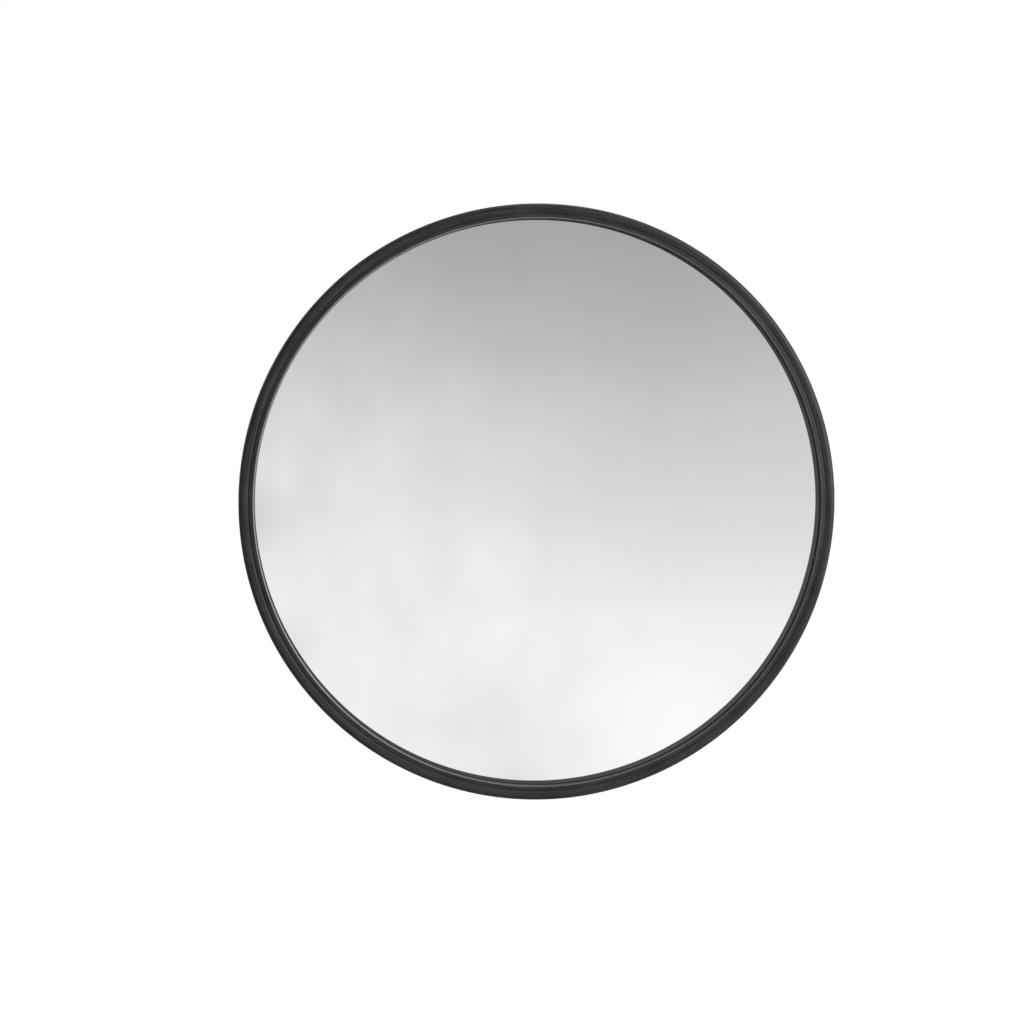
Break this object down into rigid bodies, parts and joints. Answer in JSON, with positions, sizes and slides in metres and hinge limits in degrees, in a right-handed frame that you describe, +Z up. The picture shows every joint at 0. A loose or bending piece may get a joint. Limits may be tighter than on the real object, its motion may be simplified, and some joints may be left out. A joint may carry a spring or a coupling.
{
  "type": "convex security mirror",
  "caption": "Round domed security mirror with black edge trim and a hard back, on a wall bracket that swings sideways and tilts and is locked by hand knobs.",
  "frame": {"origin": "middle of the wall plate's back face, on the wall", "axes": "+Z up, +Y into the wall, so the mirror faces -Y, and +X is to the right as seen by someone looking into the mirror"},
  "size_m": [0.4569, 0.2737, 0.457],
  "materials": {
    "mirror_acrylic": "polished",
    "hardboard": "matte",
    "black_rubber": "satin",
    "black_steel": "satin",
    "zinc_steel": "satin",
    "spring_steel": "satin",
    "brass_insert": "satin",
    "black_plastic": "satin",
    "white_nylon": "satin"
  },
  "bodies": {
    "wall_mount": {"wall_plate": "black_steel", "wall_yoke": "black_steel", "pan_bolt": "zinc_steel", "pan_washer": "zinc_steel", "pan_lock_washer": "spring_steel"},
    "arm": {"arm_tube": "black_steel", "arm_front_plug": "black_plastic", "arm_rear_plug": "black_plastic", "tilt_bush": "white_nylon", "tilt_friction_washers": "white_nylon", "pan_bush": "white_nylon", "pan_friction_washers": "white_nylon"},
    "mirror_head": {"mirror_dome": "mirror_acrylic", "backing_board": "hardboard", "edge_trim": "black_rubber", "stud_plate": "zinc_steel", "stud_bolts": "zinc_steel", "head_plate": "black_steel", "stud_washers": "zinc_steel", "stud_nuts": "zinc_steel", "head_yoke": "black_steel", "tilt_bolt": "zinc_steel", "tilt_washer": "zinc_steel", "tilt_lock_washer": "spring_steel"},
    "tilt_clamp": {"tilt_knob_insert": "brass_insert"},
    "tilt_knob": {"tilt_knob": "black_plastic"},
    "pan_clamp": {"pan_knob_insert": "brass_insert"},
    "pan_knob": {"pan_knob": "black_plastic"}
  },
  "joints": [
    {"name": "arm_pan", "type": "hinge", "parent": "wall_mount", "child": "arm", "pos_m": [0, -0.04, 0], "axis": [0, 0, 1], "range_deg": [-45, 45]},
    {"name": "head_tilt", "type": "hinge", "parent": "arm", "child": "mirror_head", "pos_m": [0, -0.18, 0], "axis": [1, 0, 0], "range_deg": [-60, 60]},
    {"name": "tilt_insert_travel", "type": "slide", "parent": "mirror_head", "child": "tilt_clamp", "axis": [1, 0, 0], "range_m": [0, 0.00125]},
    {"name": "tilt_knob_turn", "type": "hinge", "parent": "tilt_clamp", "child": "tilt_knob", "pos_m": [0.0265, -0.18, 0], "axis": [1, 0, 0], "range_deg": [0, 360]},
    {"name": "pan_insert_travel", "type": "slide", "parent": "wall_mount", "child": "pan_clamp", "axis": [0, 0, -1], "range_m": [0, 0.00125]},
    {"name": "pan_knob_turn", "type": "hinge", "parent": "pan_clamp", "child": "pan_knob", "pos_m": [0, -0.04, -0.0265], "axis": [0, 0, -1], "range_deg": [0, 360]}
  ],
  "couplings": [
    {"joint": "tilt_insert_travel", "follows": "tilt_knob_turn", "m_per_rad": 0.00019894},
    {"joint": "pan_insert_travel", "follows": "pan_knob_turn", "m_per_rad": 0.00019894}
  ]
}
